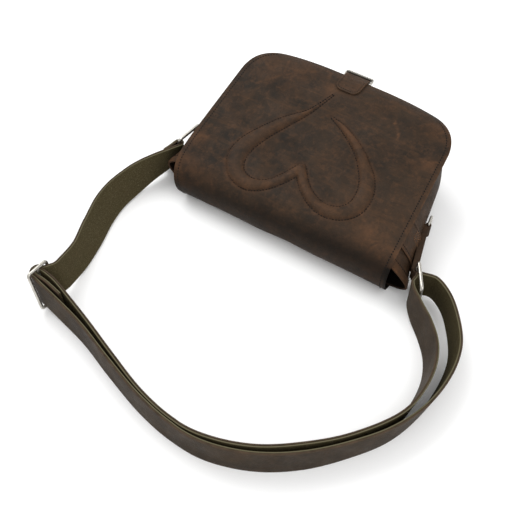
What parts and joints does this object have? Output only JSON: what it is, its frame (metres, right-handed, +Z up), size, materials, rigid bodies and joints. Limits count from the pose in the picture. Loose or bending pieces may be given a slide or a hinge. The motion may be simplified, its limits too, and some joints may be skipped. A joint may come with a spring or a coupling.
{
  "type": "shoulder bag",
  "caption": "Small soft leather shoulder bag lying on its back: one sheet folds over as back and flap with a raised heart line, gusseted pouch, ringed keepers, doubled adjustable strap.",
  "frame": {"origin": "on the floor under the middle of the back panel", "axes": "+X across the bag to its right as it lies, +Y from the mouth to the bag's bottom, +Z up"},
  "size_m": [0.3947, 0.4238, 0.0846],
  "materials": {
    "body_leather": "waxed and rubbed",
    "strap_leather": "waxed, thinner",
    "webbing": "twill canvas",
    "hardware": "satin nickel"
  },
  "bodies": {
    "bag": {"back_and_flap": "body_leather", "front_panel": "body_leather", "gusset": "body_leather", "closure_chape": "body_leather", "closure_strap": "body_leather", "side_patch_right": "body_leather", "side_patch_left": "body_leather", "ring_keeper_right": "body_leather", "ring_keeper_left": "body_leather", "strap_leather": "strap_leather", "strap_webbing": "webbing", "closure_buckle": "hardware", "strap_ring_right": "hardware", "strap_ring_left": "hardware", "strap_slider": "hardware"},
    "ring_right": {"side_ring_right": "hardware"},
    "ring_left": {"side_ring_left": "hardware"}
  },
  "joints": [
    {"name": "right_ring_hinge", "type": "hinge", "parent": "bag", "child": "ring_right", "pos_m": [0.13183, -0.00752, 0.023], "axis": [0, 0, -1], "range_deg": [-3, 150]},
    {"name": "left_ring_hinge", "type": "hinge", "parent": "bag", "child": "ring_left", "pos_m": [-0.13007, 0.01976, 0.023], "axis": [0.2544, -0.0475, 0.9659], "range_deg": [-3, 150]}
  ]
}
